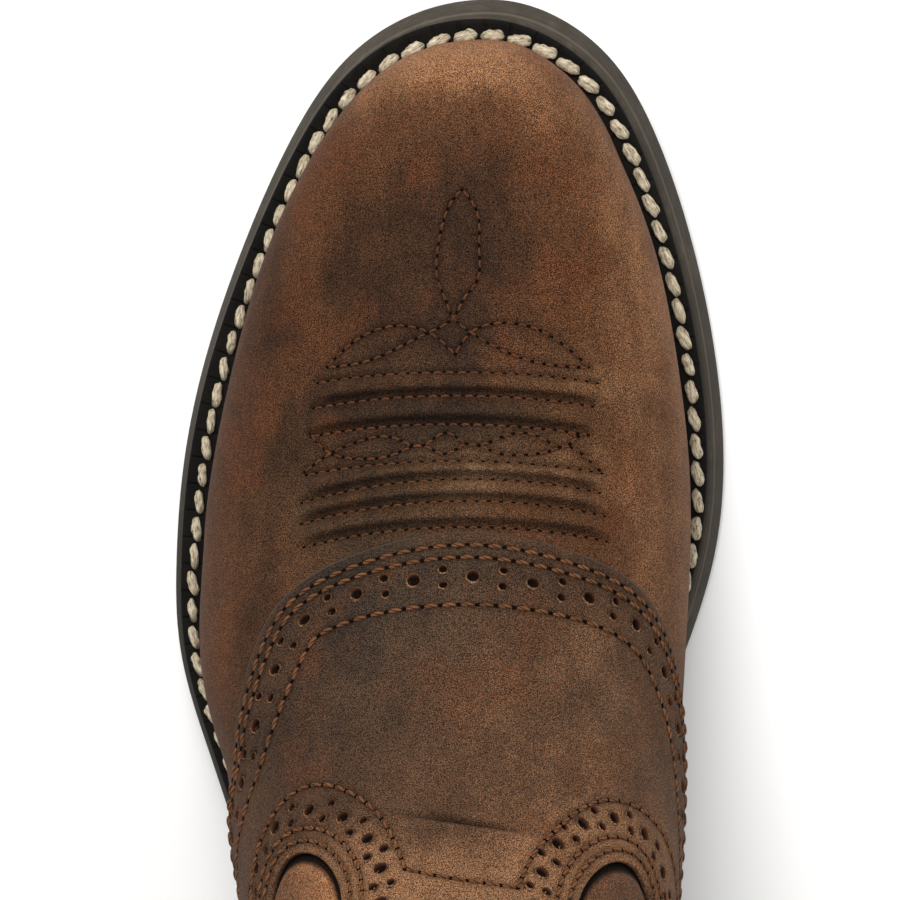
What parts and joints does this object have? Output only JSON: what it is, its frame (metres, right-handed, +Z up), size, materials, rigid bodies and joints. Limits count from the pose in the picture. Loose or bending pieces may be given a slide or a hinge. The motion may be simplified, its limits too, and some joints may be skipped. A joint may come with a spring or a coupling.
{
  "type": "western boot",
  "caption": "Round-toe leather western boot: hollow shaft and foot with a brogued saddle over the instep, stitched welt, rubber outsole and stacked heel",
  "frame": {"origin": "middle of the heel's tread, on the floor", "axes": "+Z up the shaft, -Y toward the toe, -X toward the inner side of the foot"},
  "size_m": [0.1174, 0.2917, 0.3023],
  "materials": {
    "upper_leather": "distressed oiled brown leather, rubbed lighter at the toe",
    "saddle_leather": "darker distressed brown leather with a pinked and punched border",
    "welt_rubber": "black welt, wheeled, sewn with thick pale thread",
    "outsole_rubber": "matt grey-brown rubber with a flared edge",
    "heel_rubber": "matt grey-brown rubber",
    "insole_leather": "smooth tan leather"
  },
  "bodies": {
    "root": {"upper": "upper_leather", "saddle": "saddle_leather", "welt": "welt_rubber", "outsole": "outsole_rubber", "heel": "heel_rubber", "insole": "insole_leather"}
  },
  "joints": []
}
